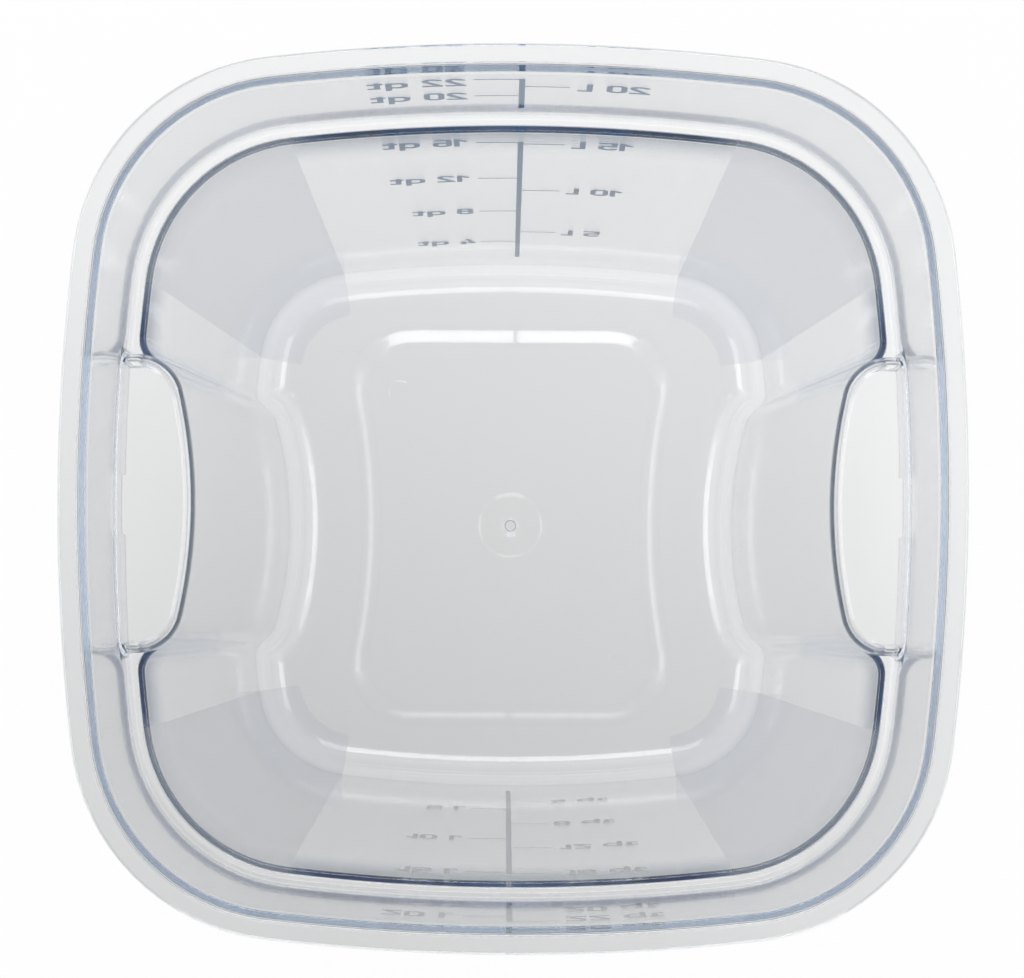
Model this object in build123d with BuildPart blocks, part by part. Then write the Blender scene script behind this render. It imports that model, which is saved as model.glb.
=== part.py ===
"""Clear square tub for proofing dough, with a volume scale printed on two of its walls.

The frame is the tub's own: the origin is at the centre of the base, +Z points up, the hand
pockets are on the -X and +X sides, and the printed scales are on the -Y and +Y walls.
"""
from build123d import *
from math import atan2, cos, degrees, radians, sin, sqrt
import os

# Whole tub
height = 400.0
rim_half_width = 143.5
rim_side_radius = 672.0
rim_corner_radius = 69.0
wall = 2.4
floor_thickness = 3.0
overrun = 5.0

# Rim flange and upper band. The flange's width is measured from the inner face of the band.
flange_width = 9.1
upper_taper = 0.6
flange_thickness = 3.0
flange_edge_round = 1.2
flange_root_round = 1.0
mouth_edge_round = 0.8

# Stacking ledge and lower walls. The ledge's width is measured on the inside, and each flat
# ring of the profile rises by flat_rise from its inner to its outer edge.
ledge_depth = 83.6
ledge_width = 4.9
flat_rise = 0.2
ledge_edge_round = 1.5
ledge_root_round = 1.5
ledge_underside_round = 0.8
lower_taper = 12.7
floor_round = 17.0

# Hand pockets, measured on their inner skin. Their depths are from the wall that they stand in.
shelf_depth = 62.0
shelf_round = 4.0
pocket_depth_at_shelf = 26.3
pocket_depth_at_floor = 17.8
pocket_half_at_shelf = 50.5
pocket_half_at_floor = 56.3
pocket_front_radius = 170.0
pocket_corner_radius = 16.0
notch_width = 20.0
notch_height = 8.0

# Raised middle of the floor. The margins are from the end walls and from the hand pockets.
panel_end_margin = 30.2
panel_side_margin = 35.4
panel_waist_radius = 300.0
panel_corner_radius = 24.0
panel_rise = 2.0
panel_slope_width = 9.0

# Moulding marks under the raised middle of the floor. The insets are from its edge.
gate_well_radius = 14.5
gate_well_depth = 0.6
gate_nub_radius = 2.5
gate_nub_height = 1.2
insert_mark_radius = 5.5
insert_mark_side_inset = 13.0
insert_mark_end_inset = 24.5
mark_depth = 0.3
plate_width = 43.2
front_plate_length = 28.0
rear_plate_length = 13.0
front_plate_inset = 27.0
rear_plate_inset = 28.7
plate_corner_radius = 3.0

# Printed scales
ink = 0.15
bar_width = 2.0
tick_length = 14.6
tick_width = 1.0
text_gap = 2.5
numeral_height = 12.5
numeral_width = 6.8
numeral_gap = 0.7
word_gap = 4.5
stroke = 2.0
top_numeral_drop = 4.5
rear_scale_shift = 2.4
front_scale_shift = 0.5
quart_shares = {
    "upper": {"22": 0.820, "20": 0.478},
    "lower": {"16": 0.943, "12": 0.726, "8": 0.499, "4": 0.261},
}
litre_shares = {"upper": {"20": 0.672}, "lower": {"15": 0.934, "10": 0.646, "5": 0.339}}
bar_foot_shares = {"upper": 0.210, "lower": 0.127}
glyph_width_shares = {"1": 0.80, "q": 1.08, "t": 0.76, "L": 0.72}
ring_round_share = 0.48
small_letter_share = 0.72
bowl_share = 0.62
four_bar_share = 0.20
four_stem_share = 0.54
four_overhang_share = 0.12

# How many straight steps stand for a quarter turn of a moulded round
round_steps = 5
small_round_steps = 3

# Heights and distances that follow from the sizes above
ledge_height = height - ledge_depth
ledge_underside = ledge_height - wall
shelf_height = height - shelf_depth
roof_height = shelf_height - wall
outer_floor_round = floor_round + wall
flange_underside = height - flange_thickness
upper_half_at_rim = rim_half_width - flange_width
upper_half_at_ledge = upper_half_at_rim - upper_taper
lower_half_at_ledge = upper_half_at_ledge - ledge_width
lower_half_at_floor = lower_half_at_ledge - lower_taper
pocket_reach_at_shelf = upper_half_at_ledge - pocket_depth_at_shelf
pocket_reach_at_floor = lower_half_at_floor - pocket_depth_at_floor
panel_half_length = lower_half_at_floor - panel_end_margin
panel_waist_half_width = pocket_reach_at_floor - panel_side_margin
side_centre_offset = rim_side_radius - rim_half_width
centre_distance = rim_side_radius - rim_corner_radius
corner_centre_offset = (sqrt(2 * centre_distance**2 - side_centre_offset**2) - side_centre_offset) / 2
side_half_angle = degrees(atan2(corner_centre_offset, corner_centre_offset + side_centre_offset))


def between(level, low_level, high_level, low_size, high_size):
    """Give the size at a level on a straight line between two levels."""
    return low_size + (high_size - low_size) * (level - low_level) / (high_level - low_level)


def lower_half(level):
    """Inner half width of the lower walls."""
    return between(level, floor_thickness, ledge_height, lower_half_at_floor, lower_half_at_ledge)


def round_profile(middle_level, middle_size, radius, start, end, steps):
    """List the levels and sizes along one arc of an upright profile, lowest first."""
    turns = [radians(start + (end - start) * step / steps) for step in range(steps + 1)]
    return [(middle_level + radius * sin(turn), middle_size + radius * cos(turn)) for turn in turns]


def bowed_square(half_width):
    """Square plan with bowed sides and round corners; every size of it shares the same centres."""
    inset = rim_half_width - half_width
    with BuildSketch() as plan:
        with BuildLine():
            for quarter in range(4):
                turn = 90 * quarter
                side_centre = Vector(-side_centre_offset, 0).rotate(Axis.Z, turn)
                corner_centre = Vector(corner_centre_offset, corner_centre_offset).rotate(Axis.Z, turn)
                side_arc = 2 * side_half_angle
                CenterArc(side_centre, rim_side_radius - inset, turn - side_half_angle, side_arc)
                CenterArc(
                    corner_centre, rim_corner_radius - inset, turn + side_half_angle, 90 - side_arc
                )
        make_face()
    return plan.sketch


def pocket_plan(level, growth):
    """Plan of the +X hand pocket: a bowed front, round corners and an open back."""
    reach = between(level, floor_thickness, shelf_height, pocket_reach_at_floor, pocket_reach_at_shelf)
    half = between(level, floor_thickness, shelf_height, pocket_half_at_floor, pocket_half_at_shelf)
    reach -= growth
    half += growth
    front_radius = pocket_front_radius + growth
    corner_radius = pocket_corner_radius + growth
    front_centre = Vector(reach + front_radius, 0)
    corner_rise = half - corner_radius
    corner_run = sqrt((front_radius - corner_radius) ** 2 - corner_rise**2)
    corner_centre = Vector(front_centre.X - corner_run, corner_rise)
    outward = (corner_centre - front_centre).normalized()
    tangent = front_centre + outward * front_radius
    middle = corner_centre + (outward + Vector(0, 1)).normalized() * corner_radius
    with BuildSketch() as plan:
        with BuildLine():
            Line((rim_half_width, -half), (rim_half_width, half))
            Line((rim_half_width, half), (corner_centre.X, half))
            ThreePointArc((corner_centre.X, half), middle, tangent)
            ThreePointArc(tangent, (reach, 0), (tangent.X, -tangent.Y))
            ThreePointArc((tangent.X, -tangent.Y), (middle.X, -middle.Y), (corner_centre.X, -half))
            Line((corner_centre.X, -half), (rim_half_width, -half))
        make_face()
    return plan.sketch


def panel_plan(growth):
    """Waisted plan of the raised middle of the floor."""
    waist = panel_waist_half_width + growth
    length = panel_half_length + growth
    corner_radius = panel_corner_radius + growth
    waist_radius = panel_waist_radius - growth
    rise = length - corner_radius
    run = sqrt((waist_radius + corner_radius) ** 2 - rise**2)
    corner_centre = Vector(waist + waist_radius - run, rise)
    side_centre = Vector(waist + waist_radius, 0)
    inward = (side_centre - corner_centre).normalized()
    tangent = corner_centre + inward * corner_radius
    middle = corner_centre + (inward + Vector(0, 1)).normalized() * corner_radius
    with BuildSketch() as plan:
        with BuildLine():
            Line((-corner_centre.X, length), (corner_centre.X, length))
            ThreePointArc((corner_centre.X, length), middle, tangent)
            ThreePointArc(tangent, (waist, 0), (tangent.X, -tangent.Y))
            ThreePointArc((tangent.X, -tangent.Y), (middle.X, -middle.Y), (corner_centre.X, -length))
            Line((corner_centre.X, -length), (-corner_centre.X, -length))
            ThreePointArc((-corner_centre.X, -length), (-middle.X, -middle.Y), (-tangent.X, -tangent.Y))
            ThreePointArc((-tangent.X, -tangent.Y), (-waist, 0), (-tangent.X, tangent.Y))
            ThreePointArc((-tangent.X, tangent.Y), (-middle.X, middle.Y), (-corner_centre.X, length))
        make_face()
    return plan.sketch


def square_stack(profile):
    """Solid whose plan is the bowed square all the way up a list of levels and half widths."""
    with BuildPart() as stack:
        for level, half_width in profile:
            with BuildSketch(Plane.XY.offset(level)):
                add(bowed_square(half_width))
        loft(ruled=True)
    return stack.part


def pocket_stack(profile):
    """Solid whose plan is the hand pocket all the way up a list of levels and growths."""
    with BuildPart() as stack:
        for level, growth in profile:
            with BuildSketch(Plane.XY.offset(level)):
                add(pocket_plan(level, growth))
        loft(ruled=True)
    return stack.part


def panel_stack(foot_level):
    """Raised middle of the floor, standing on the given level."""
    with BuildPart() as stack:
        with BuildSketch(Plane.XY.offset(foot_level)):
            add(panel_plan(panel_slope_width / 2))
        with BuildSketch(Plane.XY.offset(foot_level + panel_rise)):
            add(panel_plan(-panel_slope_width / 2))
        loft(ruled=True)
    return stack.part


def outer_profile():
    """Levels and half widths of the outside, from the base to the top of the rim."""
    base_half = lower_half(outer_floor_round) + wall - outer_floor_round
    lower_outer = lower_half_at_ledge + wall
    profile = round_profile(outer_floor_round, base_half, outer_floor_round, -90, 0, round_steps)
    profile += round_profile(
        ledge_underside - ledge_underside_round,
        lower_outer + ledge_underside_round,
        ledge_underside_round,
        180,
        90,
        small_round_steps,
    )
    profile += round_profile(
        ledge_underside + flat_rise + wall,
        upper_half_at_ledge,
        wall,
        -90,
        0,
        small_round_steps,
    )
    profile += round_profile(
        flange_underside - flat_rise - flange_root_round,
        upper_half_at_rim + wall + flange_root_round,
        flange_root_round,
        180,
        90,
        small_round_steps,
    )
    profile += round_profile(
        flange_underside + flange_edge_round,
        rim_half_width - flange_edge_round,
        flange_edge_round,
        -90,
        0,
        small_round_steps,
    )
    profile += round_profile(
        height - flange_edge_round,
        rim_half_width - flange_edge_round,
        flange_edge_round,
        0,
        90,
        small_round_steps,
    )
    return profile


def inner_profile():
    """Levels and half widths of the inside, from the floor to above the rim."""
    floor_half = lower_half(floor_thickness + floor_round) - floor_round
    profile = round_profile(floor_thickness + floor_round, floor_half, floor_round, -90, 0, round_steps)
    profile += round_profile(
        ledge_height - ledge_edge_round,
        lower_half_at_ledge + ledge_edge_round,
        ledge_edge_round,
        180,
        90,
        small_round_steps,
    )
    profile += round_profile(
        ledge_height + flat_rise + ledge_root_round,
        upper_half_at_ledge - ledge_root_round,
        ledge_root_round,
        -90,
        0,
        small_round_steps,
    )
    profile += round_profile(
        height - mouth_edge_round,
        upper_half_at_rim + mouth_edge_round,
        mouth_edge_round,
        180,
        90,
        small_round_steps,
    )
    profile.append((height + overrun, upper_half_at_rim + mouth_edge_round))
    return profile


def pocket_profile(foot_level, foot_round, skin, roof_level, roof_round):
    """Levels and growths of a pocket that flares into the floor and rounds into its roof."""
    profile = [(foot_level - overrun, foot_round - skin)]
    profile += [
        (level, foot_round - skin - size)
        for level, size in round_profile(foot_level + foot_round, 0, foot_round, -90, 0, round_steps)
    ]
    profile += round_profile(
        roof_level - roof_round, -skin - roof_round, roof_round, 0, 90, small_round_steps
    )
    return profile


def make_cavity():
    """Space inside the tub, which the hand pockets and the floor panel stand in."""
    pocket_skin = pocket_stack(
        pocket_profile(floor_thickness, floor_round, 0, shelf_height, shelf_round)
    )
    with BuildPart() as cavity:
        add(square_stack(inner_profile()))
        add(pocket_skin, mode=Mode.SUBTRACT)
        mirror(pocket_skin, about=Plane.YZ, mode=Mode.SUBTRACT)
        add(panel_stack(floor_thickness), mode=Mode.SUBTRACT)
    return cavity.part


def make_hand_hollow():
    """Space for the fingers at +X, open below and behind, with the upper band hanging in front."""
    with BuildPart() as band:
        with BuildSketch(Plane.XY.offset(ledge_underside)):
            add(bowed_square(rim_half_width + overrun))
            add(bowed_square(upper_half_at_ledge), mode=Mode.SUBTRACT)
        extrude(amount=height - ledge_underside)
    with BuildPart() as notch:
        with BuildSketch(Plane.XY.offset(ledge_underside - overrun)):
            with Locations((upper_half_at_ledge, 0)):
                Rectangle(2 * overrun, notch_width)
        extrude(amount=overrun + notch_height)
    with BuildPart() as hollow:
        add(
            pocket_stack(
                pocket_profile(0, outer_floor_round, wall, roof_height, shelf_round - wall)
            )
        )
        add(band.part, mode=Mode.SUBTRACT)
        add(notch.part)
    return hollow.part


def make_base_marks():
    """Shallow moulding marks cut into the underside of the raised middle of the floor."""
    mark_across = panel_waist_half_width - insert_mark_side_inset
    mark_along = panel_half_length - insert_mark_end_inset
    with BuildPart() as marks:
        with BuildSketch(Plane.XY.offset(panel_rise)):
            Circle(gate_well_radius)
        extrude(amount=gate_well_depth)
        with BuildSketch(Plane.XY.offset(panel_rise)):
            with Locations((mark_across, -mark_along), (-mark_across, mark_along)):
                Circle(insert_mark_radius)
            with Locations((0, front_plate_inset - panel_half_length)):
                RectangleRounded(plate_width, front_plate_length, plate_corner_radius)
            with Locations((0, panel_half_length - rear_plate_inset)):
                RectangleRounded(plate_width, rear_plate_length, plate_corner_radius)
        extrude(amount=mark_depth)
    return marks.part


def make_tub():
    """The one moulding: walls, ledge, flange, floor and both hand pockets."""
    hand_hollow = make_hand_hollow()
    with BuildPart() as tub:
        add(square_stack(outer_profile()))
        add(make_cavity(), mode=Mode.SUBTRACT)
        add(hand_hollow, mode=Mode.SUBTRACT)
        mirror(hand_hollow, about=Plane.YZ, mode=Mode.SUBTRACT)
        add(panel_stack(0), mode=Mode.SUBTRACT)
        add(make_base_marks(), mode=Mode.SUBTRACT)
        with BuildSketch(Plane.XY.offset(panel_rise + gate_well_depth - gate_nub_height)):
            Circle(gate_nub_radius)
        extrude(amount=gate_nub_height)
    return tub.part


def ring(width, tall, middle_x, middle_y):
    """Flat closed stroke with round corners, about the given middle."""
    outer_radius = min(width, tall) * ring_round_share
    with BuildSketch() as loop:
        with Locations((middle_x, middle_y)):
            RectangleRounded(width, tall, outer_radius)
            RectangleRounded(
                width - 2 * stroke, tall - 2 * stroke, outer_radius - stroke, mode=Mode.SUBTRACT
            )
    return loop.sketch


def block(left, bottom, width, tall):
    """Flat rectangle given by its lower left corner and its size."""
    with BuildSketch() as bar:
        with Locations((left + width / 2, bottom + tall / 2)):
            Rectangle(width, tall)
    return bar.sketch


def bent(*lines):
    """Flat stroke that follows joined lines and arcs."""
    with BuildSketch() as run:
        trace(lines=lines, line_width=stroke)
    return run.sketch


def glyph_width(character):
    """Room that one character takes along its line."""
    return numeral_width * glyph_width_shares.get(character, 1)


def make_glyph(character):
    """Flat outline of one character, standing on its base line with its left side at zero."""
    wide = glyph_width(character)
    tall = numeral_height
    half_wide = wide / 2
    inset = stroke / 2
    bend = half_wide - inset
    bowl = tall * bowl_share
    small = tall * small_letter_share
    with BuildSketch() as glyph:
        if character == "0":
            add(ring(wide, tall, half_wide, tall / 2))
        elif character == "1":
            stem_left = wide - stroke
            add(block(stem_left, 0, stroke, tall))
            add(bent(Line((inset, tall - 2 * stroke), (stem_left + inset, tall - inset))))
        elif character == "2":
            bow = CenterArc((half_wide, tall - half_wide), bend, 170, -205)
            add(bent(bow))
            add(bent(Line(bow @ 1, (inset, inset))))
            add(block(0, 0, wide, stroke))
        elif character == "4":
            bar_level = tall * four_bar_share
            add(bent(Line((inset, bar_level + inset), (half_wide, tall))))
            add(block(0, bar_level, wide, stroke))
            stem_left = wide - wide * four_overhang_share - stroke
            add(block(stem_left, 0, stroke, tall * four_stem_share))
        elif character == "5":
            add(ring(wide, bowl, half_wide, bowl / 2))
            add(block(0, half_wide, half_wide, bowl - half_wide - stroke), mode=Mode.SUBTRACT)
            add(block(0, bowl - stroke, half_wide, stroke))
            add(block(0, bowl - stroke, stroke, tall - bowl + stroke))
            add(block(0, tall - stroke, wide, stroke))
        elif character == "6":
            add(ring(wide, bowl, half_wide, bowl / 2))
            add(block(0, half_wide, stroke, tall - wide))
            add(bent(CenterArc((half_wide, tall - half_wide), bend, 180, -150)))
        elif character == "8":
            upper = tall + stroke - bowl
            add(ring(wide, bowl, half_wide, bowl / 2))
            add(ring(wide, upper, half_wide, tall - upper / 2))
        elif character == "L":
            add(block(0, 0, stroke, tall))
            add(block(0, 0, wide, stroke))
        elif character == "q":
            add(ring(wide, small, half_wide, small / 2))
            add(block(wide - stroke, small - tall, stroke, tall))
        elif character == "t":
            cross_level = small - stroke
            add(block(inset, 0, stroke, tall - stroke))
            add(block(0, cross_level, wide, stroke))
            add(block(inset, 0, wide - inset, stroke))
        else:
            raise ValueError("no outline for " + character)
    return glyph.sketch


def word_width(word):
    """Room that a word takes along its line."""
    return sum(glyph_width(character) for character in word) + numeral_gap * (len(word) - 1)


def word_outlines(word, start, base_level):
    """Place each character of a word, from its lower left corner on."""
    outlines = []
    for character in word:
        outlines.append(make_glyph(character).moved(Location((start, base_level))))
        start += glyph_width(character) + numeral_gap
    return outlines


def band_level(share, band):
    """Height of a share of the way up the upper band or the lower wall."""
    if band == "upper":
        return between(share, 0, 1, ledge_height, height)
    return between(share, 0, 1, floor_thickness, ledge_underside)


def make_ink_film():
    """Film that lies on the straight outside of the upper band and of the lower wall."""
    upper_foot = ledge_underside + flat_rise + wall
    upper_top = flange_underside - flat_rise - flange_root_round
    lower_top = ledge_underside - ledge_underside_round
    spans = [
        (outer_floor_round, lower_half(outer_floor_round) + wall, lower_top, lower_half_at_ledge + wall),
        (upper_foot, upper_half_at_ledge + wall, upper_top, upper_half_at_rim + wall),
    ]
    with BuildPart() as film:
        for low, low_half, high, high_half in spans:
            add(square_stack([(low, low_half + ink), (high, high_half + ink)]))
            add(square_stack([(low, low_half), (high, high_half)]), mode=Mode.SUBTRACT)
    return film.part


def write_print(name, outlines, face_plane, film):
    """Write one node of ink: outlines carried straight in to the wall, kept only in the film."""
    with BuildPart() as marks:
        with BuildSketch(face_plane):
            for outline in outlines:
                add(outline)
        extrude(amount=-rim_half_width / 2)
        add(film, mode=Mode.INTERSECT)
    marks.part.label = name
    export_step(marks.part, os.path.join("parts", name + ".step"))


def write_bars(side, face_plane, bar_left, film):
    """Write the upright bar of one wall, which the ledge breaks in two."""
    for band in ("upper", "lower"):
        foot = band_level(bar_foot_shares[band], band)
        top = band_level(max(quart_shares[band].values()), band) + tick_width / 2
        bar = block(bar_left, foot, bar_width, top - foot)
        write_print(side + "_scale_bar_" + band, [bar], face_plane, film)


def write_unit(side, unit, letters, band_shares, face_plane, bar_left, film):
    """Write the ticks, numerals and unit letters of one unit, quarts to the right of the bar."""
    ticks = []
    numerals = []
    words = []
    for band, shares in band_shares.items():
        for number, share in shares.items():
            level = band_level(share, band)
            base = level - numeral_height / 2
            if number == "22":
                base -= top_numeral_drop
            if unit == "quart":
                tick_left = bar_left + bar_width
                start = tick_left + tick_length + text_gap
            else:
                tick_left = bar_left - tick_length
                start = tick_left - text_gap - word_width(number) - word_gap - word_width(letters)
            ticks.append(block(tick_left, level - tick_width / 2, tick_length, tick_width))
            numerals += word_outlines(number, start, base)
            words += word_outlines(letters, start + word_width(number) + word_gap, base)
    for kind, outlines in (("ticks", ticks), ("numerals", numerals), ("letters", words)):
        write_print(side + "_" + unit + "_" + kind, outlines, face_plane, film)


def write_scale(side, face_plane, shift, film):
    """Write the print of one wall, seen from outside, with its bar shifted to the viewer's left."""
    bar_left = -shift - bar_width / 2
    write_bars(side, face_plane, bar_left, film)
    write_unit(side, "quart", "qt", quart_shares, face_plane, bar_left, film)
    write_unit(side, "litre", "L", litre_shares, face_plane, bar_left, film)


os.makedirs("parts", exist_ok=True)

tub_part = make_tub()
tub_part.label = "tub"
export_step(tub_part, "parts/tub.step")

ink_film = make_ink_film()
rear_face = Plane(origin=(0, rim_half_width, 0), x_dir=(-1, 0, 0), z_dir=(0, 1, 0))
front_face = Plane(origin=(0, -rim_half_width, 0), x_dir=(1, 0, 0), z_dir=(0, -1, 0))
write_scale("rear", rear_face, rear_scale_shift, ink_film)
write_scale("front", front_face, front_scale_shift, ink_film)
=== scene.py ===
"""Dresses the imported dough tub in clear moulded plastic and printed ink, on a plain stage.

Everything is in metres in the tub's own frame: the origin is at the centre of the base, +Z points
up, the hand pockets are on the -X and +X sides, and the scales are on the -Y and +Y walls.
"""

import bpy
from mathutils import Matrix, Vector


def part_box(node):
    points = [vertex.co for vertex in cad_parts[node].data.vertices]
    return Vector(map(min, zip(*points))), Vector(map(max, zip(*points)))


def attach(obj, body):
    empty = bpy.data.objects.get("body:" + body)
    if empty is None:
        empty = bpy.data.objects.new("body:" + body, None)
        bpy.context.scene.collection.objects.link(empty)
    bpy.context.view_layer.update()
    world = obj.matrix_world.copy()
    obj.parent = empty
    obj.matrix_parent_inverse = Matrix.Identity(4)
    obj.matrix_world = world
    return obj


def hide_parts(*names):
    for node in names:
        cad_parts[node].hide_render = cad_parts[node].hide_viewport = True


bl_info = {
    "name": "Dough Tub",
    "version": (1, 0, 0),
    "blender": (4, 5, 0),
    "location": "View3D > Sidebar > Dough Tub",
    "description": "Clear square tub with a printed volume scale, and the stage that it stands on",
    "category": "Add Mesh",
}

from math import atan2, cos, pi, radians, sin, sqrt

import bmesh
import bpy
from bpy.props import FloatProperty, FloatVectorProperty, PointerProperty

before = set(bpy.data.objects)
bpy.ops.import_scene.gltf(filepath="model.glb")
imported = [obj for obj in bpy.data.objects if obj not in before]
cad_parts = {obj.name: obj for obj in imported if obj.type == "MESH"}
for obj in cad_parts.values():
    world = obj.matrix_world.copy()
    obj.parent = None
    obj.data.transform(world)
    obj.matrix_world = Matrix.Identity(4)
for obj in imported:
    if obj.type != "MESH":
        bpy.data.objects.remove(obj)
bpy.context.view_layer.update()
TUB_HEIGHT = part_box("tub")[1].z

# Place of each tick as a share of the way up the band or the lower wall
QUART_TICKS = {"upper": (0.820, 0.478), "lower": (0.943, 0.726, 0.499, 0.261)}
LITRE_TICKS = {"upper": (0.672,), "lower": (0.934, 0.646, 0.339)}

# Witness marks of the mould's inserts and pins in the floor: middle, half size, corner radius and
# width of the slope round them
INSERT_MARKS = (
    ((0.0, 0.057, 0.0), (0.0175, 0.0025, 0.0), 0.005, 0.004),
    ((0.0, -0.059, 0.0), (0.0175, 0.010, 0.0), 0.005, 0.004),
    ((0.050, -0.0616, 0.0), (0.0, 0.0, 0.0), 0.0055, 0.0008),
    ((-0.0505, 0.0608, 0.0), (0.0, 0.0, 0.0), 0.0055, 0.0012),
)

# Soft boxes round the tub: name, turn from the rear towards +X, height angle, share of the power
SOFT_BOXES = (
    ("rear_soft_box", 0.0, radians(52), 1.3),
    ("right_soft_box", pi / 2, radians(46), 0.9),
    ("front_soft_box", pi, radians(46), 0.7),
    ("left_soft_box", -pi / 2, radians(46), 0.9),
)

# Upward part of the direction in which the tent's sides turn into its top, and the dark room into
# the tent's sides
SIDE_TO_TOP = (0.3, 0.95)
ROOM_TO_TENT = (0.1, 0.6)

# White of the floor that shows in the plastic: in the middle, at least, and far away, with the
# distances between which it fades. This slope and fade are painted light, in place of the soft
# boxes' light falling off across the sweep
MIDDLE_PAINTED_LIGHT, LEAST_PAINTED_LIGHT, FAR_PAINTED_LIGHT = 0.88, 0.5, 0.2
PAINTED_LIGHT_FADE_DISTANCES = (0.35, 1.2)
PLAIN_WHITE = (1.0, 1.0, 1.0, 1.0)

# Camera sensor in millimetres, nearest distance that the camera sees, and limit of reflections
SENSOR_WIDTH, NEAREST_SEEN, MOST_BOUNCES = 36, 0.05, 64

# The ink's screen has about 5 threads in a millimetre, and its weave shows as a darker shade
WEAVE_SCALE, WEAVE_SHADE, INK_ROUGHNESS = 400.0, 0.8, 0.45

# How far from the floor panel's level a point still takes the witness marks
MARK_REACH = 0.0008

# Steps of the rounds and slopes, and the gap to the row that keeps a round's shading to itself
FLOOR_STEPS, WALL_STEPS, SLOPE_STEPS, ROOT_STEPS = 12, 8, 8, 8
EDGE_STEPS, SHELF_STEPS, LEDGE_STEPS, LIP_STEPS, SMALL_STEPS = 10, 16, 6, 8, 5
SUPPORT = 0.0015

MERGE_DISTANCE = 1e-7
SHARP_ANGLE = radians(40)


# Sizes and finishes that a user would change


def length(name, description, default):
    """Property for one length in metres."""
    kind = {"precision": 5, "unit": "LENGTH", "subtype": "DISTANCE"}
    return FloatProperty(name=name, description=description, default=default, **kind)


def number(name, description, default):
    """Property for one plain number."""
    return FloatProperty(name=name, description=description, default=default, precision=4)


def tint(name, description, hex_value):
    """Property for one colour, given as an sRGB hex value."""
    kind = {"size": 4, "subtype": "COLOR", "min": 0, "max": 1}
    return FloatVectorProperty(
        name=name, description=description, default=linear(hex_value), **kind
    )


def linear(hex_value):
    """Turn an sRGB hex value into the linear colour that Blender works with."""
    shares = [int(hex_value[place : place + 2], 16) / 255 for place in (1, 3, 5)]
    tints = [s / 12.92 if s <= 0.04045 else ((s + 0.055) / 1.055) ** 2.4 for s in shares]
    return (*tints, 1.0)


class TubWallSizes(bpy.types.PropertyGroup):
    """Rim, walls, ledge and floor of the tub."""

    height: length("Height", "From the base to the top of the rim", TUB_HEIGHT)
    rim_half_width: length("Rim Half Width", "From the middle to the flange edge", 0.1435)
    side_radius: length("Side Radius", "Bow of the rim's sides", 0.672)
    corner_radius: length("Corner Radius", "Corners of the rim", 0.069)
    wall: length("Wall", "Thickness of the walls", 0.0024)
    floor_thickness: length("Floor Thickness", "Thickness of the floor", 0.003)
    flange_width: length("Flange Width", "From the band's inner face to the flange edge", 0.0091)
    flange_thickness: length("Flange Thickness", "Thickness of the flange", 0.003)
    flange_edge_round: length("Flange Edge Round", "Round of the flange's edges", 0.0012)
    flange_root_round: length("Flange Root Round", "Round under the flange", 0.0018)
    mouth_round: length("Mouth Round", "Round of the mouth's inner edge", 0.0008)
    upper_taper: length("Upper Taper", "How much the band narrows down to the ledge", 0.0006)
    ledge_depth: length("Ledge Depth", "From the rim down to the ledge", 0.0836)
    ledge_width: length("Ledge Width", "Width of the ledge inside", 0.0049)
    flat_rise: length("Flat Rise", "Slope of the ledge from its inner to its outer edge", 0.0002)
    ledge_round: length("Ledge Round", "Rounds of the ledge's edge and root", 0.0015)
    underside_round: length("Underside Round", "Round under the ledge", 0.0008)
    lower_taper: length("Lower Taper", "How much the lower wall narrows to the floor", 0.0127)
    floor_round: length("Floor Round", "Round between floor and wall, inside", 0.017)


class HandPocketSizes(bpy.types.PropertyGroup):
    """The two hand pockets, measured on their inner skin."""

    shelf_depth: length("Shelf Depth", "From the rim down to the pocket's top", 0.062)
    shelf_round: length("Shelf Round", "Round of the pocket's top edge", 0.0055)
    root_round: length("Root Round", "Round between the pocket's top and the band", 0.0012)
    depth_at_shelf: length("Depth at Shelf", "How far the pocket reaches in, at its top", 0.0263)
    depth_at_floor: length("Depth at Floor", "How far the pocket reaches in, at the floor", 0.0178)
    half_at_shelf: length("Half Width at Shelf", "Half width of the pocket at its top", 0.0505)
    half_at_floor: length("Half Width at Floor", "Half width of the pocket at the floor", 0.0563)
    front_radius: length("Front Radius", "Bow of the pocket's front", 0.170)
    corner_radius: length("Corner Radius", "Corners of the pocket's front", 0.016)
    wall_blend: length("Wall Blend", "Round between pocket and lower wall, inside", 0.008)
    band_blend: length("Band Blend", "Round between pocket and upper band, inside", 0.002)
    least_blend: length("Least Blend", "Smallest round where the pocket runs into the floor", 0.006)
    notch_half_width: length("Notch Half Width", "Half of the notch in the lip", 0.010)
    notch_height: length("Notch Height", "Height of that notch", 0.008)


class FloorPanelSizes(bpy.types.PropertyGroup):
    """Raised middle of the floor and its moulding marks."""

    end_margin: length("End Margin", "From the lower wall to the panel's end", 0.0302)
    side_margin: length("Side Margin", "From the pocket to the panel's waist", 0.0354)
    waist_radius: length("Waist Radius", "Hollow of the panel's sides", 0.300)
    corner_radius: length("Corner Radius", "Corners of the panel", 0.024)
    rise: length("Rise", "How much the panel stands above the floor", 0.002)
    slope_width: length("Slope Width", "Width of the slope round the panel", 0.0102)
    gate_radius: length("Gate Radius", "Round well where the plastic was fed in", 0.0145)
    gate_depth: length("Gate Depth", "Depth of that well, seen from inside", 0.0006)
    gate_slope: length("Gate Slope", "Width of the slope round that well", 0.0033)
    nub_radius: length("Nub Radius", "Broken stub of the feed", 0.0025)
    nub_height: length("Nub Height", "Height of that stub", 0.0012)
    mark_height: length("Mark Height", "Height of the insert marks in the bump", 0.0003)


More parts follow.
